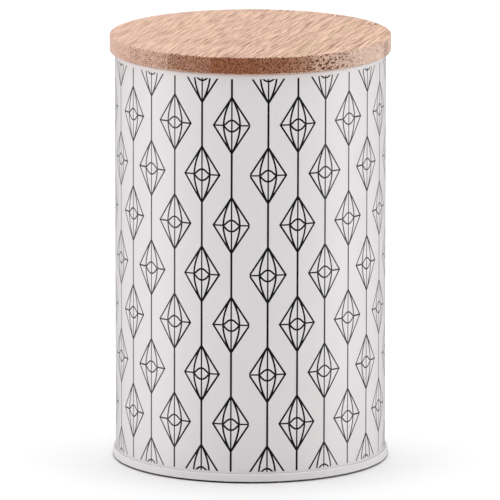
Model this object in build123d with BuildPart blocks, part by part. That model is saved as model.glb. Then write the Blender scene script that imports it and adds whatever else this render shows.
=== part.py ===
"""A round printed coffee tin with a push-in bamboo lid.

The tin is a lock-seamed sheet wall, rolled in at the mouth and double-seamed onto a pressed base.
The lid is a bamboo board of two plies, each glued up from parallel strips, with a silicone ring
held in the rebate of its plug. +Z is up, and the origin is the centre of the standing plane.
All sizes are in millimetres and angles in degrees.
"""

import math
import os

from build123d import *

# Overall sizes.
overall_height = 174.7
body_diameter = 110.0

# Sheet metal: the wall and the base are the same tinplate.
sheet = 0.30
fold_gap = 0.10
curl_diameter = 2.4
curl_sweep = 300.0

# Lock seam down the back of the wall.
lock_width = 3.6
lock_step = 1.3
lock_end_gap = 0.8

# Double seam that joins the base to the wall.
seam_height = 3.8
seam_corner = 0.55
hook_length = 2.1

# Pressed base.
panel_depth = 4.6
panel_corner = 0.9
panel_step = 0.8
step_width = 2.4
inner_ring_width = 10.0
outer_ring_width = 5.0

# Sealing compound in the double seam.
compound_clearance = 0.02

# Bamboo lid.
lid_overhang = 2.1
lid_thickness = 7.0
lid_edge_round = 0.6
lid_seat_gap = 0.10
disc_strips = 6
plug_strips = 5
grain_angle = 74.0
plug_clearance = 1.4
plug_depth = 8.0
plug_chamfer = 1.0

# Silicone ring on the plug.
ring_height = 2.3
ring_depth = 1.6
ring_fit = 0.05
lip_count = 2
lip_root = 0.5
lip_tip = 0.2
lip_rise = 0.5
lip_clearance = 0.10

# Places worked out from the sizes above. A layer is one sheet and one gap in a fold.
layer = sheet + fold_gap
wall_centre = body_diameter / 2 - sheet / 2
disc_radius = body_diameter / 2 + lid_overhang
disc_bottom = overall_height - lid_thickness
rim_height = disc_bottom - lid_seat_gap
curl_radius = curl_diameter / 2
curl_centre_radius = body_diameter / 2 - curl_radius
curl_centre_height = rim_height - curl_radius
mouth_radius = body_diameter / 2 - curl_diameter

# Double seam, from the inside out: chuck wall, can wall, end hook, body hook, seam wall.
chuck_wall = wall_centre - layer
end_hook = wall_centre + layer
body_hook = wall_centre + 2 * layer
seam_wall = wall_centre + 3 * layer
wall_fold_height = sheet + fold_gap + sheet / 2 + layer
seam_fold_height = seam_height - sheet / 2 - layer
body_hook_tip = min(wall_fold_height + hook_length, seam_fold_height - fold_gap)
end_hook_tip = max(seam_fold_height - hook_length, wall_fold_height + fold_gap)
panel_height = panel_depth + sheet / 2

lock_bottom = panel_height + panel_step + sheet / 2 + lock_end_gap
lock_top = curl_centre_height - curl_radius - lock_end_gap

plug_radius = mouth_radius - plug_clearance
plug_bottom = disc_bottom - plug_depth
neck_radius = plug_radius - ring_depth
lip_radius = mouth_radius - lip_clearance


def polar(radius: float, angle: float) -> Vector:
    """A point of the XY plane at this radius and angle in degrees."""
    return Vector(radius * math.cos(math.radians(angle)), radius * math.sin(math.radians(angle)))


def along(angle: float) -> Vector:
    """The anticlockwise direction round the axis at this angle in degrees."""
    return Vector(-math.sin(math.radians(angle)), math.cos(math.radians(angle)))


def arc_degrees(length: float) -> float:
    """The angle that this length takes up along the wall."""
    return math.degrees(length / wall_centre)


def lock_seam_lines() -> None:
    """Draws the sheet's middle line in plan: once round the wall, with a hook folded at each end.

    The seam is at the back, at 90 degrees. Its four layers run along circles a layer apart: the outer
    wall, the second end's hook, the first end's hook, and the second end on its way to its fold.
    """
    seam_angle = 90.0
    half = arc_degrees(lock_width / 2)
    tip_gap = arc_degrees(fold_gap)
    outer = wall_centre
    second, third, fourth = outer - layer, outer - 2 * layer, outer - 3 * layer
    first_fold, second_fold = seam_angle + half, seam_angle - half
    step_start = first_fold + arc_degrees(layer + sheet + fold_gap + lock_step)
    step_end = first_fold + arc_degrees(layer + fold_gap)
    origin = (0, 0)

    # First end: hook in the third layer, fold, then the outer wall, the long way round.
    CenterArc(origin, third, second_fold + tip_gap, first_fold - second_fold - tip_gap)
    CenterArc(polar(second, first_fold), layer, first_fold, 180)
    CenterArc(origin, outer, step_start, first_fold + 360 - step_start)

    # Second end: step under the first fold, run in the fourth layer, fold back into the second.
    Spline(
        polar(outer, step_start),
        polar(fourth, step_end),
        tangents=(-along(step_start), -along(step_end)),
    )
    CenterArc(origin, fourth, second_fold, step_end - second_fold)
    CenterArc(polar(third, second_fold), layer, second_fold, -180)
    CenterArc(origin, second, second_fold, first_fold - second_fold - tip_gap)


def make_body_wall() -> Part:
    """The tin's wall: one sheet with its lock seam, rolled bead at the mouth and seaming hook below."""
    with BuildPart() as body_wall:
        with BuildSketch(Plane.XY.offset(lock_bottom)):
            with BuildLine():
                lock_seam_lines()
            trace(line_width=sheet)
        extrude(amount=lock_top - lock_bottom)

        with BuildSketch(Plane.XZ):
            with BuildLine():
                Line((body_hook, body_hook_tip), (body_hook, wall_fold_height))
                CenterArc((end_hook, wall_fold_height), layer, 0, -180)
                Line((wall_centre, wall_fold_height), (wall_centre, lock_bottom))
            trace(line_width=sheet)
            with BuildLine():
                Line((wall_centre, lock_top), (wall_centre, curl_centre_height))
                CenterArc(
                    (curl_centre_radius, curl_centre_height), curl_radius - sheet / 2, 0, curl_sweep
                )
            trace(line_width=sheet)
        revolve(axis=Axis.Z)
    return body_wall.part


def make_base_end() -> Part:
    """The pressed base: stepped panel, chuck wall, and the edge rolled round the wall's hook."""
    outer_edge = chuck_wall - outer_ring_width
    centre_edge = outer_edge - inner_ring_width - step_width
    with BuildPart() as base_end:
        with BuildSketch(Plane.XZ):
            with BuildLine():
                FilletPolyline(
                    (0, panel_height - panel_step),
                    (centre_edge, panel_height - panel_step),
                    (centre_edge + step_width, panel_height),
                    (outer_edge, panel_height),
                    (outer_edge + step_width, panel_height + panel_step),
                    (chuck_wall, panel_height + panel_step),
                    (chuck_wall, sheet / 2),
                    (seam_wall, sheet / 2),
                    (seam_wall, seam_fold_height),
                    radius=[panel_corner] * 5 + [seam_corner] * 2,
                )
                CenterArc((body_hook, seam_fold_height), layer, 0, 180)
                Line((end_hook, seam_fold_height), (end_hook, end_hook_tip))
            trace(line_width=sheet)
        revolve(axis=Axis.Z)
    return base_end.part


def make_seam_compound() -> Part:
    """The bead of sealing compound in the fold of the base, over the tip of the wall's hook."""
    half_width = layer - sheet / 2 - compound_clearance
    floor = body_hook_tip + compound_clearance
    with BuildPart() as seam_compound:
        with BuildSketch(Plane.XZ):
            with BuildLine():
                Polyline(
                    (body_hook - half_width, floor),
                    (body_hook + half_width, floor),
                    (body_hook + half_width, seam_fold_height),
                    (body_hook, seam_fold_height + half_width),
                    (body_hook - half_width, seam_fold_height),
                    close=True,
                )
            make_face()
        revolve(axis=Axis.Z)
    return seam_compound.part


def make_seal_ring() -> Part:
    """The silicone ring: a band in the plug's rebate with lips that reach for the rolled mouth."""
    band_inside = neck_radius + ring_fit
    band_bottom = disc_bottom - ring_fit - ring_height
    lip_pitch = ring_height / lip_count
    with BuildPart() as seal_ring:
        with BuildSketch(Plane.XZ):
            with BuildLine():
                Polyline(
                    (band_inside, band_bottom),
                    (plug_radius, band_bottom),
                    (plug_radius, band_bottom + ring_height),
                    (band_inside, band_bottom + ring_height),
                    close=True,
                )
            make_face()
            for lip in range(lip_count):
                root = band_bottom + lip_pitch * (lip + 0.5) - lip_rise / 2
                with BuildLine():
                    Polyline(
                        (plug_radius, root - lip_root / 2),
                        (lip_radius, root + lip_rise - lip_tip / 2),
                        (lip_radius, root + lip_rise + lip_tip / 2),
                        (plug_radius, root + lip_root / 2),
                        close=True,
                    )
                make_face()
        revolve(axis=Axis.Z)
    return seal_ring.part


def disc_section() -> Sketch:
    """Half the section of the lid's upper ply, with its edges eased."""
    with BuildSketch(Plane.XZ) as section:
        with Locations((0, disc_bottom)):
            Rectangle(disc_radius, lid_thickness, align=(Align.MIN, Align.MIN))
        fillet(section.vertices().group_by(Axis.X)[-1], lid_edge_round)
    return section.sketch


def plug_section() -> Sketch:
    """Half the section of the lid's lower ply: the plug, with the rebate that holds the ring."""
    rebate_bottom = disc_bottom - ring_height - 2 * ring_fit
    with BuildSketch(Plane.XZ) as section:
        with BuildLine():
            Polyline(
                (0, plug_bottom),
                (plug_radius - plug_chamfer, plug_bottom),
                (plug_radius, plug_bottom + plug_chamfer),
                (plug_radius, rebate_bottom),
                (neck_radius, rebate_bottom),
                (neck_radius, disc_bottom),
                (0, disc_bottom),
                close=True,
            )
        make_face()
    return section.sketch


def make_strips(section: Sketch, radius: float, count: int) -> list[Part]:
    """One ply of the lid, as its parallel bamboo strips, from left to right across the grain.

    The two outer cuts lie a strip beyond the ply's edge, so that no cut only touches its rim.
    """
    across_grain = Plane(origin=(0, 0, 0), x_dir=polar(1, grain_angle - 90), z_dir=(0, 0, 1))
    width = 2 * radius / count
    glue_lines = [width * line - radius for line in range(1, count)]
    edges = [-radius - width, *glue_lines, radius + width]
    strips = []
    for left, right in zip(edges, edges[1:]):
        with BuildPart() as strip:
            revolve(section, axis=Axis.Z)
            with BuildSketch(across_grain):
                with Locations(((left + right) / 2, 0)):
                    Rectangle(right - left, 3 * radius)
            extrude(amount=overall_height, mode=Mode.INTERSECT)
        strips.append(strip.part)
    return strips


def write(part: Part, name: str) -> None:
    """Labels a finished piece and writes its STEP file."""
    part.label = name
    export_step(part, os.path.join("parts", f"{name}.step"))


def main() -> None:
    """Builds every piece of the tin and its lid and writes them."""
    os.makedirs("parts", exist_ok=True)
    write(make_body_wall(), "body_wall")
    write(make_base_end(), "base_end")
    write(make_seam_compound(), "seam_compound")
    write(make_seal_ring(), "seal_ring")
    for number, strip in enumerate(make_strips(disc_section(), disc_radius, disc_strips), 1):
        write(strip, f"lid_top_strip_{number}")
    for number, strip in enumerate(make_strips(plug_section(), plug_radius, plug_strips), 1):
        write(strip, f"lid_plug_strip_{number}")


main()
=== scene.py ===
"""Looks for a printed coffee tin with a bamboo lid, in a small white studio.

The metal, the bamboo strips and the silicone ring are nodes of the frame, and get their finishes
here. The printed coat on the outside of the wall is a thin film of its own, in three panels.
The frame is in metres. Sizes in this file are in millimetres and degrees unless they say otherwise,
and the finishes read Object coordinates in millimetres too.
"""

import logging
import math
from collections.abc import Iterable
from dataclasses import dataclass, field
from enum import Enum
from typing import ClassVar

import bmesh
import bpy
from mathutils import Matrix, Vector


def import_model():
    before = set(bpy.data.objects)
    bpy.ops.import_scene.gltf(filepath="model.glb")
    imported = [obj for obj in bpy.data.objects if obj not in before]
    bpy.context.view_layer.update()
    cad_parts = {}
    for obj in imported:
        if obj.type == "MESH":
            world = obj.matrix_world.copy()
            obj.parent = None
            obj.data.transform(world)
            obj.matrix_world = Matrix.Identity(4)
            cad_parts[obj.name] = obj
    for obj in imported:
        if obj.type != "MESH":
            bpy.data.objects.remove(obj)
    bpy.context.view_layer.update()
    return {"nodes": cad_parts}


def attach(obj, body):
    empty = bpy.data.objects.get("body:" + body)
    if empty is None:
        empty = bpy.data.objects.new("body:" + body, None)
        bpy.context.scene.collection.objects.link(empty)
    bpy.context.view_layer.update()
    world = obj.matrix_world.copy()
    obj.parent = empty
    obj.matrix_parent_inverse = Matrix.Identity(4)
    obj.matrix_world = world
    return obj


LOG = logging.getLogger("coffee_tin")
MM = 0.001
SHARP = math.radians(30)
UP = Vector((0, 0, 1))
BAKE_MAP = "OFBake"
Colour = tuple[float, float, float]
Span = tuple[float, float]


# ---- Node trees ----


@dataclass(frozen=True)
class Mottle:
    """A smooth noise with scale repeats to a millimetre, from about 0 to 1.

    Where span is set, the noise is eased from zero at its first value to one at its second.
    """

    scale: float
    detail: float = 2.0
    rough: float = 0.5
    span: Span | None = None


@dataclass(frozen=True, eq=False)
class Field:
    """A value that varies over the surface: one output socket, with plain arithmetic."""

    graph: "Graph"
    socket: bpy.types.NodeSocket

    def __add__(self, other: "Field | float") -> "Field":
        """The sum."""
        return self.graph.math("ADD", self, other)

    def __sub__(self, other: "Field | float") -> "Field":
        """The difference."""
        return self.graph.math("SUBTRACT", self, other)

    def __rsub__(self, other: float) -> "Field":
        """A plain number less this field."""
        return self.graph.math("SUBTRACT", other, self)

    def __mul__(self, other: "Field | float") -> "Field":
        """The product."""
        return self.graph.math("MULTIPLY", self, other)

    def __truediv__(self, other: "Field | float") -> "Field":
        """The quotient."""
        return self.graph.math("DIVIDE", self, other)

    def __rtruediv__(self, other: float) -> "Field":
        """A plain number divided by this field."""
        return self.graph.math("DIVIDE", other, self)

    def __pow__(self, other: "Field | float") -> "Field":
        """This field raised to a power."""
        return self.graph.math("POWER", self, other)

    def __abs__(self) -> "Field":
        """The size without its sign."""
        return self.graph.math("ABSOLUTE", self)

    def least(self, other: "Field | float") -> "Field":
        """The smaller of the two at each place."""
        return self.graph.math("MINIMUM", self, other)

    def most(self, other: "Field | float") -> "Field":
        """The larger of the two at each place."""
        return self.graph.math("MAXIMUM", self, other)

    def above(self, other: "Field | float") -> "Field":
        """One where this field is the larger, and zero elsewhere."""
        return self.graph.math("GREATER_THAN", self, other)

    def clamped(self) -> "Field":
        """This field held between zero and one."""
        return self.least(1.0).most(0.0)

    def ease(self, start: float, end: float) -> "Field":
        """Zero at start and one at end, with a smooth step between. End may be the smaller."""
        node = self.graph.add("ShaderNodeMapRange", interpolation_type="SMOOTHSTEP")
        self.graph.feed(node.inputs["Value"], self)
        node.inputs["From Min"].default_value = start
        node.inputs["From Max"].default_value = end
        return Field(self.graph, node.outputs["Result"])


class Graph:
    """One shader node tree, with short calls for the nodes that the finishes are made of."""

    def __init__(self, tree: bpy.types.NodeTree) -> None:
        """Starts from an empty tree.

        Args:
            tree: The material's or the node group's tree, whose nodes are removed.
        """
        self.tree = tree
        tree.nodes.clear()

    def add(self, kind: str, **settings: object) -> bpy.types.Node:
        """Adds a node of this kind with these settings."""
        node = self.tree.nodes.new(kind)
        for name, value in settings.items():
            setattr(node, name, value)
        return node

    def feed(self, socket: bpy.types.NodeSocket, value: object) -> None:
        """Links a field to the socket, or sets the socket's own value."""
        if isinstance(value, Field):
            self.tree.links.new(value.socket, socket)
        else:
            socket.default_value = value

    def math(self, operation: str, *values: "Field | float") -> Field:
        """One step of arithmetic on numbers."""
        node = self.add("ShaderNodeMath", operation=operation)
        for socket, value in zip(node.inputs, values):
            self.feed(socket, value)
        return Field(self, node.outputs["Value"])

    def millimetres(self) -> Field:
        """The place on the piece, in millimetres in the frame's own axes."""
        node = self.add("ShaderNodeVectorMath", operation="SCALE")
        self.tree.links.new(self.add("ShaderNodeTexCoord").outputs["Object"], node.inputs[0])
        node.inputs["Scale"].default_value = 1 / MM
        return Field(self, node.outputs["Vector"])

    def turned(self, place: Field, degrees: float) -> Field:
        """The place as seen in axes turned about Z by this angle."""
        node = self.add("ShaderNodeMapping")
        self.feed(node.inputs["Vector"], place)
        node.inputs["Rotation"].default_value = (0, 0, math.radians(-degrees))
        return Field(self, node.outputs["Vector"])

    def parts(self, vector: Field) -> tuple[Field, Field, Field]:
        """The three parts of a vector."""
        node = self.add("ShaderNodeSeparateXYZ")
        self.feed(node.inputs["Vector"], vector)
        x, y, z = node.outputs
        return Field(self, x), Field(self, y), Field(self, z)

    def vector(self, x: "Field | float", y: "Field | float", z: "Field | float") -> Field:
        """The vector with these three parts."""
        node = self.add("ShaderNodeCombineXYZ")
        for socket, value in zip(node.inputs, (x, y, z)):
            self.feed(socket, value)
        return Field(self, node.outputs["Vector"])

    def facing(self, direction: Vector) -> Field:
        """How squarely the surface faces this way: the cosine, negative where it faces away."""
        node = self.add("ShaderNodeVectorMath", operation="DOT_PRODUCT")
        self.tree.links.new(self.add("ShaderNodeTexCoord").outputs["Normal"], node.inputs[0])
        node.inputs[1].default_value = direction
        return Field(self, node.outputs["Value"])

    def noise(self, place: Field, mottle: Mottle) -> Field:
        """The mottle's value at this place, eased over its span where it has one."""
        node = self.add("ShaderNodeTexNoise")
        self.feed(node.inputs["Vector"], place)
        node.inputs["Scale"].default_value = mottle.scale
        node.inputs["Detail"].default_value = mottle.detail
        node.inputs["Roughness"].default_value = mottle.rough
        value = Field(self, node.outputs["Fac"])
        return value.ease(*mottle.span) if mottle.span else value

    def sway(self, place: Field, mottle: Mottle, reach: float) -> Field:
        """The mottle centred on zero, swinging up to about half of reach each way."""
        return (self.noise(place, mottle) - 0.5) * reach

    def cells(self, place: Field, scale: "Field | float") -> Field:
        """The distance to the nearest of many scattered points, in units of their spacing."""
        node = self.add("ShaderNodeTexVoronoi", feature="F1")
        self.feed(node.inputs["Vector"], place)
        self.feed(node.inputs["Scale"], scale)
        return Field(self, node.outputs["Distance"])

    def blend(
        self, amount: "Field | float", first: "Field | Colour", second: "Field | Colour"
    ) -> Field:
        """A colour mixed from two: first where amount is zero, second where it is one."""
        node = self.add("ShaderNodeMix", data_type="RGBA")
        self.feed(node.inputs["Factor"], amount)
        for socket, colour in zip(node.inputs[6:8], (first, second)):
            self.feed(socket, colour if isinstance(colour, Field) else (*colour, 1.0))
        return Field(self, node.outputs[2])

    def between(self, amount: Field, low: "Field | float", high: "Field | float") -> Field:
        """The number that goes from low to high as amount goes from zero to one."""
        node = self.add("ShaderNodeMix", data_type="FLOAT")
        self.feed(node.inputs[0], amount)
        self.feed(node.inputs[2], low)
        self.feed(node.inputs[3], high)
        return Field(self, node.outputs[0])

    def relief(self, height: Field, depth: float) -> Field:
        """The surface normal over a height field whose range of one stands for depth."""
        node = self.add("ShaderNodeBump")
        node.inputs["Distance"].default_value = depth * MM
        self.feed(node.inputs["Height"], height)
        return Field(self, node.outputs["Normal"])

    def effect(self, effect: "Effect", **given: object) -> dict[str, Field]:
        """Places a shared effect's group and feeds its inputs.

        Args:
            effect: The effect, whose group is built if it isn't yet.
            given: A field or a value for each input, by its name in lower case.

        Returns:
            The group's outputs by name.
        """
        node = self.add("ShaderNodeGroup", node_tree=effect.tree())
        for name, value in given.items():
            self.feed(node.inputs[name.capitalize()], value)
        return {socket.name: Field(self, socket) for socket in node.outputs}


# ---- Effects that finishes share ----


class SocketKind(Enum):
    """The kinds of socket that a shared effect has."""

    NUMBER = "NodeSocketFloat"
    PLACE = "NodeSocketVector"
    COLOUR = "NodeSocketColor"


@dataclass(frozen=True)
class Effect:
    """A shader node group that several finishes share, built once."""

    TITLE: ClassVar[str] = ""
    INPUTS: ClassVar[dict[str, SocketKind]] = {}
    OUTPUTS: ClassVar[dict[str, SocketKind]] = {}

    def tree(self) -> bpy.types.NodeTree:
        """The group, built the first time it is asked for."""
        made = bpy.data.node_groups.get(self.TITLE)
        if made:
            return made
        tree = bpy.data.node_groups.new(self.TITLE, "ShaderNodeTree")
        for name, kind in self.INPUTS.items():
            tree.interface.new_socket(name, in_out="INPUT", socket_type=kind.value)
        for name, kind in self.OUTPUTS.items():
            tree.interface.new_socket(name, in_out="OUTPUT", socket_type=kind.value)
        graph = Graph(tree)
        source, sink = graph.add("NodeGroupInput"), graph.add("NodeGroupOutput")
        given = {name: Field(graph, source.outputs[name]) for name in self.INPUTS}
        for name, value in self.draw(graph, given).items():
            graph.feed(sink.inputs[name], value)
        return tree

    def draw(self, graph: Graph, given: dict[str, Field]) -> dict[str, Field]:
        """Draws the group's inside.

        Args:
            graph: The group's tree.
            given: The group's inputs by name.

        Returns:
            What goes to each of the group's outputs, by name.
        """
        raise NotImplementedError


@dataclass(frozen=True)
class RoundPlace(Effect):
    """Where a place lies about the tin's axis. The angle counts from the front to the right."""

    TITLE: ClassVar[str] = "Round place"
    INPUTS: ClassVar[dict[str, SocketKind]] = {"Place": SocketKind.PLACE}
    OUTPUTS: ClassVar[dict[str, SocketKind]] = {
        "Angle": SocketKind.NUMBER,
        "Radius": SocketKind.NUMBER,
        "Height": SocketKind.NUMBER,
    }

    def draw(self, graph: Graph, given: dict[str, Field]) -> dict[str, Field]:
        """The angle in degrees, and the radius and height as given."""
        x, y, height = graph.parts(given["Place"])
        angle = graph.math("ARCTAN2", x, y * -1.0) * math.degrees(1)
        radius = graph.math("SQRT", x * x + y * y)
        return {"Angle": angle, "Radius": radius, "Height": height}


@dataclass(frozen=True)
class DiamondPrint(Effect):
    """The print: diamonds drawn in lines and strung on uprights, each column half a repeat off.

    The columns mirror about the middle of the front, so the two middle ones stand further apart.
    The sheet was rolled up a hair askew, so the columns lean, by lean degrees to a millimetre, and
    the lines are drawn finer from the sides on.
    Neighbouring diamonds interlock, so every other column is drawn in one pass and the rest in
    another, and the two are laid over each other.
    """

    radius: float = 55.0
    turn: float = -0.3
    front_gap: float = 15.3
    column_pitch: float = 12.84
    columns_a_side: int = 14
    repeat: float = 40.8
    first_centre: float = 146.6
    half_width: float = 7.4
    half_height: float = 11.4
    eye_half_width: float = 3.33
    upper_lid_height: float = 2.1
    lower_lid_height: float = 2.5
    upper_lid_power: float = 1.6
    lower_lid_power: float = 1.05
    petal_power: float = 1.8
    line: float = 0.75
    side_line: float = 0.58
    upright_share: float = 0.82
    thin_line: float = 0.62
    full_line_to: float = 18.0
    side_line_from: float = 46.0
    edge_blur: float = 0.06
    edge_wander: float = 0.05
    wander: Mottle = Mottle(2.0)
    lean: float = 0.004
    lean_from: float = 99.0
    bottom: float = 4.6
    top: float = 165.5
    plain_past: float = -175.0

    TITLE: ClassVar[str] = "Diamond print"
    INPUTS: ClassVar[dict[str, SocketKind]] = {"Place": SocketKind.PLACE}
    OUTPUTS: ClassVar[dict[str, SocketKind]] = {"Ink": SocketKind.NUMBER}

    def draw(self, graph: Graph, given: dict[str, Field]) -> dict[str, Field]:
        """The ink mask: one on a line and zero on the bare coat."""
        around = graph.effect(RoundPlace(), place=given["Place"])
        height = around["Height"]
        angle = around["Angle"] - self.turn - (height - self.lean_from) * self.lean
        towards_side = abs(angle).ease(self.full_line_to, self.side_line_from)
        line = graph.between(towards_side, self.line, self.side_line)
        first, second = (self.column_set(graph, angle, height, line, shift) for shift in (0, 1))
        gap = first.least(second) + graph.sway(given["Place"], self.wander, self.edge_wander)
        inside = height.above(self.bottom) * (1.0 - height.above(self.top))
        inside = inside * angle.above(self.plain_past)
        return {"Ink": gap.ease(self.edge_blur / 2, -self.edge_blur / 2) * inside}

    def column_set(
        self, graph: Graph, angle: Field, height: Field, line: Field, shift: int
    ) -> Field:
        """The distance to the nearest line of the columns that hang at one of the two heights.

        Args:
            graph: The group's tree.
            angle: The angle from the middle of the front, in degrees.
            height: The height in millimetres.
            line: The width of a line there.
            shift: 0 for the columns that start a whole diamond down, 1 for those between.

        Returns:
            The distance to the edge of the nearest line, negative inside it.
        """
        right = angle.above(0.0)
        offset = right if shift == 0 else 1.0 - right
        from_first = (abs(angle) - self.front_gap / 2) / self.column_pitch
        pairs = graph.math("ROUND", (from_first - offset) * 0.5)
        pairs = pairs.most(0.0).least(self.columns_a_side // 2 - 1.0)
        column = pairs * 2.0 + offset
        side = abs(from_first - column) * (math.radians(self.column_pitch) * self.radius)
        start = self.first_centre - shift * self.repeat / 2
        rise = graph.math("WRAP", height - start, self.repeat / 2, -self.repeat / 2)
        return self.to_nearest_line(graph, side, rise, line)

    def to_nearest_line(self, graph: Graph, side: Field, rise: Field, line: Field) -> Field:
        """The distance to the edge of the nearest line of one diamond, negative inside it.

        Args:
            graph: The group's tree.
            side: How far the place is from the diamond's upright, without the sign.
            rise: How far it is above the diamond's middle.
            line: The width of a line there.

        Returns:
            The distance in millimetres.
        """
        wide, tall = self.half_width, self.half_height
        level = abs(rise)
        outline = abs(side * tall + level * wide - wide * tall) / math.hypot(wide, tall)

        upper = rise.above(0.0)
        power = graph.between(upper, self.lower_lid_power, self.upper_lid_power)
        lid_height = graph.between(upper, self.lower_lid_height, self.upper_lid_height)
        share = (side / self.eye_half_width).least(1.0)
        room = 1.0 - share * share
        lid = room**power * lid_height
        slope = room ** (power - 1.0) * power * share * lid_height * (2 / self.eye_half_width)
        eye = self.square_on(graph, level - lid, slope).most(side - self.eye_half_width)

        share = (level / tall).least(1.0)
        petal = side - (1.0 - share**self.petal_power) * self.eye_half_width
        steepness = self.petal_power * self.eye_half_width / tall
        petal = self.square_on(graph, petal, share ** (self.petal_power - 1) * steepness)

        whisker = level.most(self.eye_half_width - side).most(side - wide)
        drawn = outline.least(eye).least(petal) - line * 0.5
        upright = side - line * (self.upright_share / 2)
        return drawn.least(upright).least(whisker - self.thin_line / 2)

    def square_on(self, graph: Graph, offset: Field, slope: Field) -> Field:
        """The distance square to a curve, from the distance along one axis and the slope there."""
        return abs(offset) / graph.math("SQRT", slope * slope + 1.0)


@dataclass(frozen=True)
class Handling(Effect):
    """What use leaves on a smooth surface: faint smears of wiping, and a few specks of dust."""

    smears: Mottle = Mottle(1 / 26, 4.0, 0.62, span=(0.35, 0.75))
    speck_pitch: float = 5.0
    speck_size: float = 0.035

    TITLE: ClassVar[str] = "Handling"
    INPUTS: ClassVar[dict[str, SocketKind]] = {"Place": SocketKind.PLACE}
    OUTPUTS: ClassVar[dict[str, SocketKind]] = {
        "Smear": SocketKind.NUMBER,
        "Dust": SocketKind.NUMBER,
    }

    def draw(self, graph: Graph, given: dict[str, Field]) -> dict[str, Field]:
        """Two masks from 0 to 1."""
        near = graph.cells(given["Place"], 1 / self.speck_pitch)
        dust = near.ease(self.speck_size, self.speck_size / 2)
        return {"Smear": graph.noise(given["Place"], self.smears), "Dust": dust}


@dataclass(frozen=True)
class LacquerSkin(Effect):
    """The white coat itself: its colour, and the slight waviness that a stoved coat dries to."""

    white: Colour = (0.805, 0.78, 0.782)
    warm: Colour = (0.79, 0.758, 0.748)
    patches: Mottle = Mottle(1 / 60)
    waves: Mottle = Mottle(1 / 1.6, 1.0)

    TITLE: ClassVar[str] = "Lacquer skin"
    INPUTS: ClassVar[dict[str, SocketKind]] = {"Place": SocketKind.PLACE}
    OUTPUTS: ClassVar[dict[str, SocketKind]] = {
        "Colour": SocketKind.COLOUR,
        "Wave": SocketKind.NUMBER,
    }

    def draw(self, graph: Graph, given: dict[str, Field]) -> dict[str, Field]:
        """The coat's colour, and a height from 0 to 1."""
        patches = graph.noise(given["Place"], self.patches)
        colour = graph.blend(patches, self.white, self.warm)
        return {"Colour": colour, "Wave": graph.noise(given["Place"], self.waves)}


@dataclass(frozen=True)
class PaintedFootShadow(Effect):
    """A painted contact shadow along the edge that the tin stands on, drawn as the coat giving way
    to dark bare metal.
    """

    foot: float = 0.78
    blur: float = 0.16
    ragged: float = 0.24
    edge_noise: Mottle = Mottle(0.7, 4.0, 0.65)

    TITLE: ClassVar[str] = "Painted foot shadow"
    INPUTS: ClassVar[dict[str, SocketKind]] = {"Place": SocketKind.PLACE}
    OUTPUTS: ClassVar[dict[str, SocketKind]] = {"Shadow": SocketKind.NUMBER}

    def draw(self, graph: Graph, given: dict[str, Field]) -> dict[str, Field]:
        """One where the painted shadow lies along the foot, with a ragged border."""
        height = graph.parts(given["Place"])[2]
        edge = height + graph.sway(given["Place"], self.edge_noise, self.ragged)
        return {"Shadow": edge.ease(self.foot + self.blur / 2, self.foot - self.blur / 2)}


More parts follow.
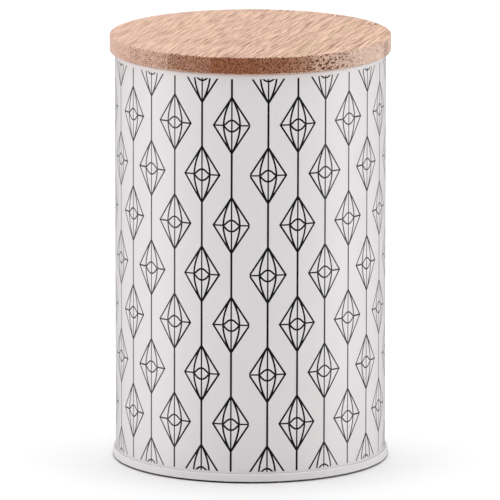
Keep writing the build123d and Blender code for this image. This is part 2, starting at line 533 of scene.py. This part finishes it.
@dataclass(frozen=True)
class BambooGrain(Effect):
    """Bamboo cut into a strip, with X along the grain: dark fibre bundles in a pale ground.

    The bundles are long threads, so they show as streaks along the grain and as dots where the
    strip is cut across. Pitch, Tone, Knuckle, Contrast and Seed differ from strip to strip. Ends is
    one where the cut is square across the fibres, and Soak is how much darker oil makes it there.
    A size that ends in dark is how much that part browns the long grain.
    """

    thread_length: float = 45.0
    thread_span: Span = (0.52, 0.22)
    fine_pitch: float = 0.34
    fine_length: float = 16.0
    band_pitch: float = 2.4
    band_length: float = 120.0
    streak_rough: float = 0.6
    streak_span: Span = (0.32, 0.68)
    blush: Mottle = Mottle(1 / 24, 3.0, span=(0.30, 0.70))
    blush_squeeze: float = 0.6
    bend: Mottle = Mottle(1.0)
    bend_reach: float = 0.8
    bends_along: float = 0.05
    bends_across: float = 0.3
    seed_step: float = 31.0
    knuckle_half: float = 3.2
    knuckle_swell: float = 0.6
    pore_pitch: float = 15.0
    pore_size: float = 0.020
    pore_stretch: float = 7.0
    thread_dark: float = 0.10
    fine_dark: float = 0.90
    band_dark: float = 0.04
    dark_from: float = 0.26
    knuckle_dark: float = 0.45
    pore_dark: float = 0.8
    thread_dot: float = 1.9
    dot_from: float = 0.55
    pale: Colour = (0.80, 0.545, 0.41)
    brown: Colour = (0.16, 0.064, 0.030)
    rosy: Colour = (0.745, 0.475, 0.385)
    honey: Colour = (0.78, 0.565, 0.395)
    cut_ground: Colour = (0.345, 0.118, 0.050)
    cut_bundle: Colour = (0.095, 0.022, 0.006)

    TITLE: ClassVar[str] = "Bamboo grain"
    INPUTS: ClassVar[dict[str, SocketKind]] = {
        "Place": SocketKind.PLACE,
        "Pitch": SocketKind.NUMBER,
        "Tone": SocketKind.NUMBER,
        "Knuckle": SocketKind.NUMBER,
        "Seed": SocketKind.NUMBER,
        "Ends": SocketKind.NUMBER,
        "Soak": SocketKind.NUMBER,
        "Contrast": SocketKind.NUMBER,
    }
    OUTPUTS: ClassVar[dict[str, SocketKind]] = {
        "Colour": SocketKind.COLOUR,
        "Threads": SocketKind.NUMBER,
        "Fibre": SocketKind.NUMBER,
    }

    def draw(self, graph: Graph, given: dict[str, Field]) -> dict[str, Field]:
        """The wood's colour, its bundles and its fine fibre, the last two from 0 to 1."""
        along, side, up = graph.parts(given["Place"])
        pitch, ends = given["Pitch"], given["Ends"]
        at_knuckle = abs(along - given["Knuckle"]).ease(self.knuckle_half, 0.0)
        bend = graph.vector(along * self.bends_along, side * self.bends_across, given["Seed"])
        side = side + graph.sway(bend, self.bend, self.bend_reach)
        side = side + at_knuckle * self.knuckle_swell
        up = up + given["Seed"] * self.seed_step

        stretched = along * (pitch / self.thread_length)
        threads = graph.cells(graph.vector(stretched, side, up), 1.0 / pitch)
        threads = threads.ease(*self.thread_span)
        fine = self.streaks(graph, along, side, up, self.fine_pitch, self.fine_length)
        bands = self.streaks(graph, along, side, up, self.band_pitch, self.band_length)
        blush = graph.noise(graph.vector(along * self.blush_squeeze, side, up), self.blush)
        pore_place = graph.vector(along * (1 / self.pore_stretch), side, up)
        pores = graph.cells(pore_place, 1 / self.pore_pitch)
        pores = pores.ease(self.pore_size, self.pore_size / 2)

        tint = graph.blend(blush, self.honey, self.rosy)
        ground = graph.blend(given["Tone"], self.pale, tint)
        dark = threads * self.thread_dark + fine * self.fine_dark + bands * self.band_dark
        dark = (dark - self.dark_from) * given["Contrast"]
        dark = dark + at_knuckle * fine * self.knuckle_dark + pores * self.pore_dark
        long_grain = graph.blend(dark.clamped(), ground, self.brown)
        cut = graph.blend(ends * given["Soak"], long_grain, self.cut_ground)
        dots = (threads * self.thread_dot + fine - self.dot_from).clamped() * ends
        return {
            "Colour": graph.blend(dots, cut, self.cut_bundle),
            "Threads": threads,
            "Fibre": fine,
        }

    def streaks(
        self, graph: Graph, along: Field, side: Field, up: Field, pitch: float, length: float
    ) -> Field:
        """Noise drawn out along the grain, from 0 to 1, with this pitch across it."""
        place = graph.vector(along * (pitch / length), side, up)
        mottle = Mottle(1 / pitch, rough=self.streak_rough, span=self.streak_span)
        return graph.noise(place, mottle)


# ---- Finishes ----

Paint = dict[str, Field | float | Colour]


@dataclass(frozen=True)
class Finish:
    """One material: a Principled shader whose patterns come from paint."""

    title: str

    def material(self) -> bpy.types.Material:
        """The finished material, built the first time it is asked for."""
        made = bpy.data.materials.get(self.title)
        if made:
            return made
        material = bpy.data.materials.new(self.title)
        material.use_nodes = True
        graph = Graph(material.node_tree)
        shader = graph.add("ShaderNodeBsdfPrincipled")
        output = graph.add("ShaderNodeOutputMaterial")
        graph.tree.links.new(shader.outputs["BSDF"], output.inputs["Surface"])
        for name, value in self.paint(graph).items():
            graph.feed(shader.inputs[name], value)
        return material

    def paint(self, graph: Graph) -> Paint:
        """Draws the material's patterns.

        Args:
            graph: The material's tree.

        Returns:
            What goes to each of the shader's inputs, by name: a field, or a value of its own.
        """
        raise NotImplementedError

    def dress(self, pieces: Iterable[bpy.types.Object]) -> None:
        """Puts the material on each piece, in place of what it has."""
        for piece in pieces:
            if piece.material_slots:
                for slot in piece.material_slots:
                    slot.material = self.material()
            else:
                piece.data.materials.append(self.material())


@dataclass(frozen=True)
class PrintedCoat(Finish):
    """Satin white lacquer with the diamonds printed on it in near-black ink."""

    title: str = "Printed coat"
    ink: Colour = (0.005, 0.0045, 0.005)
    worn_ink: Colour = (0.014, 0.012, 0.013)
    density: Mottle = Mottle(3.0, 3.0, 0.6, span=(0.35, 0.8))
    coat_rough: float = 0.40
    ink_rough: float = 0.34
    smear_rough: float = 0.05
    dust_rough: float = 0.2
    specular: float = 0.2
    coat_gloss: float = 0.8
    ink_gloss: float = 0.9
    gloss_rough: float = 0.22
    wave_share: float = 0.35
    relief: float = 0.004

    def paint(self, graph: Graph) -> Paint:
        """Ink on the coat, a little glossier than the coat and a few microns proud of it."""
        place = graph.millimetres()
        ink = graph.effect(DiamondPrint(), place=place)["Ink"]
        skin = graph.effect(LacquerSkin(), place=place)
        marks = graph.effect(Handling(), place=place)
        density = graph.noise(place, self.density)
        ink_colour = graph.blend(density, self.ink, self.worn_ink)
        rough = graph.between(ink, self.coat_rough, self.ink_rough)
        rough = rough + marks["Smear"] * self.smear_rough + marks["Dust"] * self.dust_rough
        relief = skin["Wave"] * self.wave_share + ink + marks["Dust"]
        return {
            "Base Color": graph.blend(ink, skin["Colour"], ink_colour),
            "Roughness": rough,
            "Specular IOR Level": self.specular,
            "Coat Weight": graph.between(ink, self.coat_gloss, self.ink_gloss),
            "Coat Roughness": self.gloss_rough,
            "Normal": graph.relief(relief, self.relief),
        }


@dataclass(frozen=True)
class TinplateWall(Finish):
    """The wall's sheet: white coat outside and over the bead, clear-lacquered tinplate inside."""

    title: str = "Tinplate wall"
    coat_from_radius: float = 54.85
    bead_bottom: float = 164.5
    tin: Colour = (0.70, 0.69, 0.67)
    tin_dark: Colour = (0.52, 0.515, 0.51)
    shadow_dark: Colour = (0.045, 0.042, 0.040)
    # The dark of the painted contact shadow along the foot.
    inside_metallic: float = 0.6
    roll: Mottle = Mottle(1 / 0.22, 3.0, 0.6)
    roll_stretch: float = 0.004
    roll_span: Span = (0.25, 0.8)
    coat_rough: float = 0.40
    tin_rough: float = 0.24
    roll_rough: float = 0.16
    smear_rough: float = 0.06
    gloss: float = 0.12
    gloss_rough: float = 0.22
    wave_share: float = 0.35
    relief: float = 0.004

    def paint(self, graph: Graph) -> Paint:
        """The two sides told apart by radius and height, with rolling lines round the inside."""
        place = graph.millimetres()
        around = graph.effect(RoundPlace(), place=place)
        over_bead = around["Height"].above(self.bead_bottom)
        coated = around["Radius"].above(self.coat_from_radius).most(over_bead)
        arc = around["Angle"] * (math.radians(1) * self.coat_from_radius)
        stretched = graph.vector(arc * self.roll_stretch, around["Height"], 0.0)
        rolled = graph.noise(stretched, self.roll)
        return self.two_sides(graph, place, coated, rolled, 0.0)

    def two_sides(
        self, graph: Graph, place: Field, coated: Field, rolled: Field, painted_shade: Field | float
    ) -> Paint:
        """The paint of a sheet that is coated on one side.

        Args:
            graph: The material's tree.
            place: The place in millimetres.
            coated: One on the white side and zero on the metal side.
            rolled: The rolling lines, from 0 to 1.
            painted_shade: One where painted contact shadow darkens the metal at the foot.

        Returns:
            What goes to each of the shader's inputs, by name.
        """
        skin = graph.effect(LacquerSkin(), place=place)
        marks = graph.effect(Handling(), place=place)
        lines = rolled.ease(*self.roll_span)
        metal = graph.blend(lines, self.tin, self.tin_dark)
        # Painted contact shadow: the metal goes near black along the foot.
        metal = graph.blend(painted_shade, metal, self.shadow_dark)
        bare_rough = rolled * self.roll_rough + self.tin_rough
        rough = graph.between(coated, bare_rough, self.coat_rough)
        relief = graph.between(coated, rolled, skin["Wave"] * self.wave_share)
        return {
            "Base Color": graph.blend(coated, metal, skin["Colour"]),
            "Metallic": (1.0 - coated) * self.inside_metallic,
            "Roughness": rough + marks["Smear"] * self.smear_rough,
            "Coat Weight": self.gloss,
            "Coat Roughness": self.gloss_rough,
            "Normal": graph.relief(relief, self.relief),
        }


@dataclass(frozen=True)
class TinplateBase(TinplateWall):
    """The base's sheet: white coat on the underside and round the seam, tinplate on the inside."""

    title: str = "Tinplate base"
    seam_from_radius: float = 54.8
    level_blur: float = 0.05

    def paint(self, graph: Graph) -> Paint:
        """The metal side faces up inside the seam, with the rolling lines straight across."""
        place = graph.millimetres()
        radius = graph.effect(RoundPlace(), place=place)["Radius"]
        faces_down = 1.0 - graph.facing(UP).ease(-self.level_blur, self.level_blur)
        # Painted contact shadow along the foot: the coat gives way there to darkened bare metal.
        foot_shadow = graph.effect(PaintedFootShadow(), place=place)["Shadow"]
        coated = radius.above(self.seam_from_radius).most(faces_down) * (1.0 - foot_shadow)
        x, y, _ = graph.parts(place)
        rolled = graph.noise(graph.vector(x * self.roll_stretch, y, 0.0), self.roll)
        return self.two_sides(graph, place, coated, rolled, foot_shadow)


@dataclass(frozen=True)
class SealingCompound(Finish):
    """The grey rubbery compound that lines the double seam, with fine filler showing."""

    title: str = "Sealing compound"
    grey: Colour = (0.19, 0.19, 0.20)
    filler: Colour = (0.30, 0.30, 0.30)
    speckle: Mottle = Mottle(9.0, 3.0, 0.6, span=(0.4, 0.7))
    rough: float = 0.7
    filler_rough: float = 0.15
    relief: float = 0.02

    def paint(self, graph: Graph) -> Paint:
        """A matt speckled grey."""
        speckle = graph.noise(graph.millimetres(), self.speckle)
        return {
            "Base Color": graph.blend(speckle, self.grey, self.filler),
            "Roughness": speckle * self.filler_rough + self.rough,
            "Normal": graph.relief(speckle, self.relief),
        }


@dataclass(frozen=True)
class Silicone(Finish):
    """Milky silicone rubber, moulded, with a soft sheen and a little dust on it."""

    title: str = "Silicone"
    milky: Colour = (0.74, 0.73, 0.70)
    clouded: Colour = (0.66, 0.65, 0.62)
    cloud: Mottle = Mottle(0.12, 3.0)
    texture: Mottle = Mottle(6.0)
    rough: float = 0.38
    texture_rough: float = 0.1
    smear_rough: float = 0.12
    glow: float = 0.5
    glow_radius: Colour = (1.0, 0.9, 0.8)
    glow_depth: float = 1.2
    ior: float = 1.41
    relief: float = 0.01

    def paint(self, graph: Graph) -> Paint:
        """Light goes a little way in, and the surface has a mould's fine texture."""
        place = graph.millimetres()
        cloud = graph.noise(place, self.cloud)
        texture = graph.noise(place, self.texture)
        marks = graph.effect(Handling(), place=place)
        rough = texture * self.texture_rough + marks["Smear"] * self.smear_rough
        return {
            "Base Color": graph.blend(cloud, self.milky, self.clouded),
            "Roughness": rough + self.rough,
            "Subsurface Weight": self.glow,
            "Subsurface Radius": self.glow_radius,
            "Subsurface Scale": self.glow_depth * MM,
            "IOR": self.ior,
            "Normal": graph.relief(texture + marks["Dust"], self.relief),
        }


@dataclass(frozen=True)
class StripLook:
    """How one strip of bamboo differs from the next."""

    tone: float = 0.5
    pitch: float = 0.8
    contrast: float = 1.0
    end_dots: float = 0.8
    soak: float = 0.8
    knuckle: float = 200.0


@dataclass(frozen=True)
class BambooStrip(Finish):
    """One bamboo strip of the lid, sanded and lightly oiled, with its own shade and knuckle.

    The cut ends are darkened most where they face the soaked angle, a little off the grain.
    """

    look: StripLook = StripLook()
    middle: float = 0.0
    width: float = 19.0
    seed: float = 0.0
    grain_angle: float = 74.0
    soaked_angle: float = 84.0
    end_span: Span = (0.3, 0.75)
    soak_span: Span = (0.72, 0.97)
    glue_line: float = 0.10
    glue_share: float = 0.4
    glue: Colour = (0.22, 0.12, 0.075)
    # Painted reflection: the pale pink that side light glancing off the rim's long-grain sides
    # gives.
    side_sheen: Colour = (0.80, 0.60, 0.53)
    side_sheen_share: float = 0.38
    side_sheen_span: Span = (0.2, 0.8)
    rough: float = 0.5
    fibre_rough: float = 0.12
    thread_rough: float = 0.08
    smear_rough: float = 0.05
    specular: float = 0.2
    fibre_height: float = 0.4
    relief: float = 0.03

    def paint(self, graph: Graph) -> Paint:
        """Grain in the strip's own axes, glue lines at its sides, dark ends, and a painted pale
        sheen on the long-grain sides of the rim.
        """
        place = graph.turned(graph.millimetres(), self.grain_angle)
        grain_way, soaked_way = (
            Vector((math.cos(turn), math.sin(turn), 0))
            for turn in (math.radians(self.grain_angle), math.radians(self.soaked_angle))
        )
        ends = abs(graph.facing(grain_way)).ease(*self.end_span)
        soak = abs(graph.facing(soaked_way)).ease(*self.soak_span)
        grain = graph.effect(
            BambooGrain(),
            place=place,
            pitch=self.look.pitch,
            tone=self.look.tone,
            knuckle=self.look.knuckle,
            seed=self.seed,
            ends=ends * self.look.end_dots,
            soak=soak * self.look.soak,
            contrast=self.look.contrast,
        )
        marks = graph.effect(Handling(), place=place)
        _, side, _ = graph.parts(place)
        from_side = abs(side - self.middle) - self.width / 2
        glue = abs(from_side).ease(self.glue_line * 1.5, self.glue_line * 0.5) * self.glue_share
        # Painted reflection: the sides of the rim, away from the top and the cut ends, are paled
        # towards a pink sheen.
        painted_sheen = 1.0 - abs(graph.facing(UP)).ease(*self.side_sheen_span)
        painted_sheen = painted_sheen * (1.0 - ends) * self.side_sheen_share
        colour = graph.blend(painted_sheen, grain["Colour"], self.side_sheen)
        rough = grain["Fibre"] * self.fibre_rough + grain["Threads"] * self.thread_rough
        relief = grain["Fibre"] * self.fibre_height - grain["Threads"] - glue
        return {
            "Base Color": graph.blend(glue, colour, self.glue),
            "Roughness": rough + marks["Smear"] * self.smear_rough + self.rough,
            "Specular IOR Level": self.specular,
            "Normal": graph.relief(relief, self.relief),
        }


@dataclass(frozen=True)
class StudioFloor(Finish):
    """The studio's seamless white paper, with a faint tooth."""

    title: str = "Studio floor"
    white: Colour = (0.925, 0.925, 0.93)
    shade: Colour = (0.905, 0.905, 0.91)
    tooth: Mottle = Mottle(0.8, 3.0)
    rough: float = 0.9
    specular: float = 0.15

    def paint(self, graph: Graph) -> Paint:
        """Matt white that varies very little."""
        tooth = graph.noise(graph.millimetres(), self.tooth)
        return {
            "Base Color": graph.blend(tooth, self.white, self.shade),
            "Roughness": self.rough,
            "Specular IOR Level": self.specular,
        }


# ---- Sub-assemblies ----


def new_piece(name: str, mesh: bmesh.types.BMesh) -> bpy.types.Object:
    """Makes an object of a finished bmesh, smooth except across its sharp edges, and frees it.

    Args:
        name: The piece's name.
        mesh: Its shape, in metres in the frame's axes.

    Returns:
        The new object, which stands at the origin.
    """
    data = bpy.data.meshes.new(name)
    for face in mesh.faces:
        face.smooth = True
    for edge in mesh.edges:
        edge.smooth = edge.is_boundary or edge.calc_face_angle() < SHARP
    mesh.to_mesh(data)
    mesh.free()
    piece = bpy.data.objects.new(name, data)
    bpy.context.scene.collection.objects.link(piece)
    return piece


@dataclass
class PrintPanel:
    """One panel of the printed film, between two angles counted from the front to the right."""

    name: str
    start: float
    end: float
    radius: float = 55.02
    thickness: float = 0.015
    bottom: float = 3.0
    top: float = 166.0
    step: float = 1.5

    def build(self) -> bpy.types.Object:
        """Spins an upright edge about the tin's axis, gives it a map, and thickens it inwards.

        Returns:
            The panel, dressed in the printed coat.
        """
        mesh = bmesh.new()
        turn = math.radians(self.start)
        foot = Vector((math.sin(turn), -math.cos(turn), 0)) * (self.radius * MM)
        low = mesh.verts.new(foot + UP * (self.bottom * MM))
        high = mesh.verts.new(foot + UP * (self.top * MM))
        edge = mesh.edges.new((low, high))
        bmesh.ops.spin(
            mesh,
            geom=[low, high, edge],
            cent=(0, 0, 0),
            axis=(0, 0, 1),
            angle=math.radians(self.end - self.start),
            steps=math.ceil((self.end - self.start) / self.step),
            use_duplicate=False,
        )
        bmesh.ops.recalc_face_normals(mesh, faces=mesh.faces)
        if mesh.faces[0].normal.dot(mesh.faces[0].calc_center_median()) < 0:
            bmesh.ops.reverse_faces(mesh, faces=mesh.faces)
        self.lay_map(mesh)
        bmesh.ops.solidify(mesh, geom=mesh.faces[:], thickness=self.thickness * MM)
        panel = new_piece(self.name, mesh)
        PrintedCoat().dress([panel])
        return panel

    def lay_map(self, mesh: bmesh.types.BMesh) -> None:
        """Unrolls the panel over the whole of its map, angle across and height up."""
        layer = mesh.loops.layers.uv.new(BAKE_MAP)
        middle = math.radians((self.start + self.end) / 2)
        ahead = Matrix.Rotation(-middle, 3, "Z")
        for face in mesh.faces:
            for loop in face.loops:
                place = ahead @ loop.vert.co
                angle = math.degrees(math.atan2(place.x, -place.y)) + math.degrees(middle)
                across = (angle - self.start) / (self.end - self.start)
                up = (place.z / MM - self.bottom) / (self.top - self.bottom)
                loop[layer].uv = (across, up)


@dataclass
class Tin:
    """The tin: the printed film and the finishes of the wall, the base and the seam."""

    body: str = "tin"
    slot: str = "lacquered_tinplate"
    front_edge: float = 90.0
    seam_left: float = -175.6
    seam_right: float = 181.6

    def build(self, nodes: dict[str, bpy.types.Object]) -> list[bpy.types.Object]:
        """Dresses the metal and adds the film, which stops at the lock seam on both sides.

        Args:
            nodes: The frame's nodes by name.

        Returns:
            The new pieces.
        """
        TinplateWall().dress([nodes["body_wall"]])
        TinplateBase().dress([nodes["base_end"]])
        SealingCompound().dress([nodes["seam_compound"]])
        panels = [
            PrintPanel("print_front", -self.front_edge, self.front_edge).build(),
            PrintPanel("print_back_right", self.front_edge, self.seam_right).build(),
            PrintPanel("print_back_left", self.seam_left, -self.front_edge).build(),
        ]
        for panel in panels:
            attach(panel, self.body)
        return panels


@dataclass
class BambooLid:
    """The lid: each strip of both plies in its own bamboo, and the silicone ring.

    Strips are numbered across the grain, and a ply's strips are equally wide.
    """

    disc_radius: float = 57.1
    plug_radius: float = 51.2
    radius_a_seed: float = 10.0
    disc_looks: tuple[StripLook, ...] = (
        StripLook(tone=0.6, pitch=1.0, contrast=0.85, end_dots=0.12, soak=0.3),
        StripLook(tone=0.4, pitch=0.7, contrast=1.02, end_dots=0.48, soak=0.78),
        StripLook(tone=0.3, pitch=0.66, contrast=1.15, end_dots=0.84, soak=0.84),
        StripLook(tone=0.2, pitch=0.62, contrast=1.2, end_dots=0.95, soak=1.0),
        StripLook(tone=0.6, pitch=0.68, contrast=1.1, end_dots=0.95, soak=0.9, knuckle=48.0),
        StripLook(tone=0.4, pitch=1.12, contrast=1.2, end_dots=1.5, soak=0.25, knuckle=33.0),
    )
    plug_looks: tuple[StripLook, ...] = (
        StripLook(tone=0.4, pitch=0.9),
        StripLook(tone=0.8, pitch=0.8, contrast=1.2, knuckle=12.0),
        StripLook(tone=0.6, pitch=1.05, contrast=0.7),
        StripLook(tone=0.2, pitch=0.85, knuckle=-30.0),
        StripLook(tone=0.9, pitch=0.95),
    )

    def build(self, nodes: dict[str, bpy.types.Object]) -> list[str]:
        """Dresses both plies and the ring.

        Args:
            nodes: The frame's nodes by name.

        Returns:
            The names of the nodes dressed.
        """
        done = self.dress_ply(nodes, "lid_top_strip", self.disc_radius, self.disc_looks)
        done += self.dress_ply(nodes, "lid_plug_strip", self.plug_radius, self.plug_looks)
        Silicone().dress([nodes["seal_ring"]])
        return [*done, "seal_ring"]

    def dress_ply(
        self,
        nodes: dict[str, bpy.types.Object],
        stem: str,
        radius: float,
        looks: tuple[StripLook, ...],
    ) -> list[str]:
        """Gives each strip of one ply its own bamboo.

        Args:
            nodes: The frame's nodes by name.
            stem: The strips' name without its number.
            radius: The ply's radius.
            looks: One look for each strip, in the order of their numbers.

        Returns:
            The names of the strips.
        """
        width = 2 * radius / len(looks)
        names = []
        for number, look in enumerate(looks, 1):
            name = f"{stem}_{number}"
            middle = radius - width * (number - 0.5)
            seed = number + radius / self.radius_a_seed
            BambooStrip(f"Bamboo {name}", look, middle, width, seed).dress([nodes[name]])
            names.append(name)
        return names


# ---- Studio ----


@dataclass(frozen=True)
class BroadLight:
    """A big soft light far off. Its azimuth is counted from the front to the right, in degrees."""

    name: str
    azimuth: float
    elevation: float
    spread: float
    strength: float
    colour: Colour = (1.0, 1.0, 1.0)

    def build(self) -> bpy.types.Object:
        """Makes the light and turns it to the tin.

        Returns:
            The light.
        """
        data = bpy.data.lights.new(self.name, "SUN")
        data.energy = self.strength
        data.angle = math.radians(self.spread)
        data.color = self.colour
        light = bpy.data.objects.new(self.name, data)
        azimuth, elevation = math.radians(self.azimuth), math.radians(self.elevation)
        level = math.cos(elevation)
        way = Vector((math.sin(azimuth) * level, -math.cos(azimuth) * level, math.sin(elevation)))
        light.rotation_euler = way.to_track_quat("Z", "Y").to_euler()
        bpy.context.scene.collection.objects.link(light)
        return light


@dataclass
class Studio:
    """White floor and surround, light from above and from both sides, and the camera. In metres.

    The coat mirrors a surround that is darker in front, as if a dark card stood there.
    """

    floor_radius: float = 6.0
    floor_sides: int = 64
    seen_white: float = 1.3
    front_fill: float = 0.21
    front_mirrored: float = 0.03
    back_fill: float = 0.24
    back_mirrored: float = 0.4
    top_fill: float = 0.7
    back_span: Span = (-0.4, 0.6)
    top_span: Span = (0.35, 0.95)
    camera_place: Vector = field(default_factory=lambda: Vector((-0.00016, -3.593, 0.8048)))
    camera_pitch: float = -11.33
    lens: float = 647.3
    seen_to: float = 50.0
    lights: tuple[BroadLight, ...] = (
        BroadLight("Overhead", 180.0, 76.0, 62.0, 1.75),
        BroadLight("Side left", -80.0, 14.0, 60.0, 1.36, (1.0, 0.965, 1.0)),
        BroadLight("Side right", 80.0, 14.0, 60.0, 1.36, (0.985, 0.975, 1.0)),
    )

    def build(self) -> bpy.types.Object:
        """Makes the studio.

        Returns:
            The floor.
        """
        self.make_surround()
        for light in self.lights:
            light.build()
        self.make_camera()
        return self.make_floor()

    def make_surround(self) -> None:
        """A white surround for the camera, which lights the tin faintly, more from the back."""
        world = bpy.data.worlds.new("Studio surround")
        world.use_nodes = True
        graph = Graph(world.node_tree)
        way = Field(graph, graph.add("ShaderNodeTexCoord").outputs["Generated"])
        _, back, up = graph.parts(way)
        rays = graph.add("ShaderNodeLightPath")
        seen = Field(graph, rays.outputs["Is Camera Ray"])
        mirrored = Field(graph, rays.outputs["Is Glossy Ray"])
        front = graph.between(mirrored, self.front_fill, self.front_mirrored)
        behind = graph.between(mirrored, self.back_fill, self.back_mirrored)
        fill = graph.between(back.ease(*self.back_span), front, behind)
        fill = graph.between(up.ease(*self.top_span), fill, self.top_fill)
        shader = graph.add("ShaderNodeBackground")
        shader.inputs["Color"].default_value = (1, 1, 1, 1)
        graph.feed(shader.inputs["Strength"], graph.between(seen, fill, self.seen_white))
        output = graph.add("ShaderNodeOutputWorld")
        graph.tree.links.new(shader.outputs["Background"], output.inputs["Surface"])
        bpy.context.scene.world = world
        bpy.context.scene.view_settings.view_transform = "Standard"

    def make_camera(self) -> None:
        """The camera, a little above the lid, looking straight at the front."""
        data = bpy.data.cameras.new("Camera")
        data.lens = self.lens
        data.clip_end = self.seen_to
        camera = bpy.data.objects.new("Camera", data)
        camera.location = self.camera_place
        camera.rotation_euler = (math.radians(90 + self.camera_pitch), 0, 0)
        bpy.context.scene.collection.objects.link(camera)
        bpy.context.scene.camera = camera

    def make_floor(self) -> bpy.types.Object:
        """The floor, level with the foot of the tin, and not mirrored in the tin's coat."""
        mesh = bmesh.new()
        bmesh.ops.create_circle(
            mesh, cap_ends=True, segments=self.floor_sides, radius=self.floor_radius
        )
        floor = new_piece("studio_floor", mesh)
        StudioFloor().dress([floor])
        floor.visible_glossy = False
        return floor


def main() -> None:
    """Loads the frame, dresses it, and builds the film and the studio."""
    logging.basicConfig(level=logging.INFO, format="%(name)s: %(message)s")
    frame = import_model()

    LOG.info("floor: %s", Studio().build().name)
    for panel in Tin().build(frame["nodes"]):
        LOG.info("printed film: %s, %d faces", panel.name, len(panel.data.polygons))
    for name in BambooLid().build(frame["nodes"]):
        LOG.info("lid: %s dressed", name)

    bpy.context.view_layer.update()


if __name__ == "__main__":
    main()
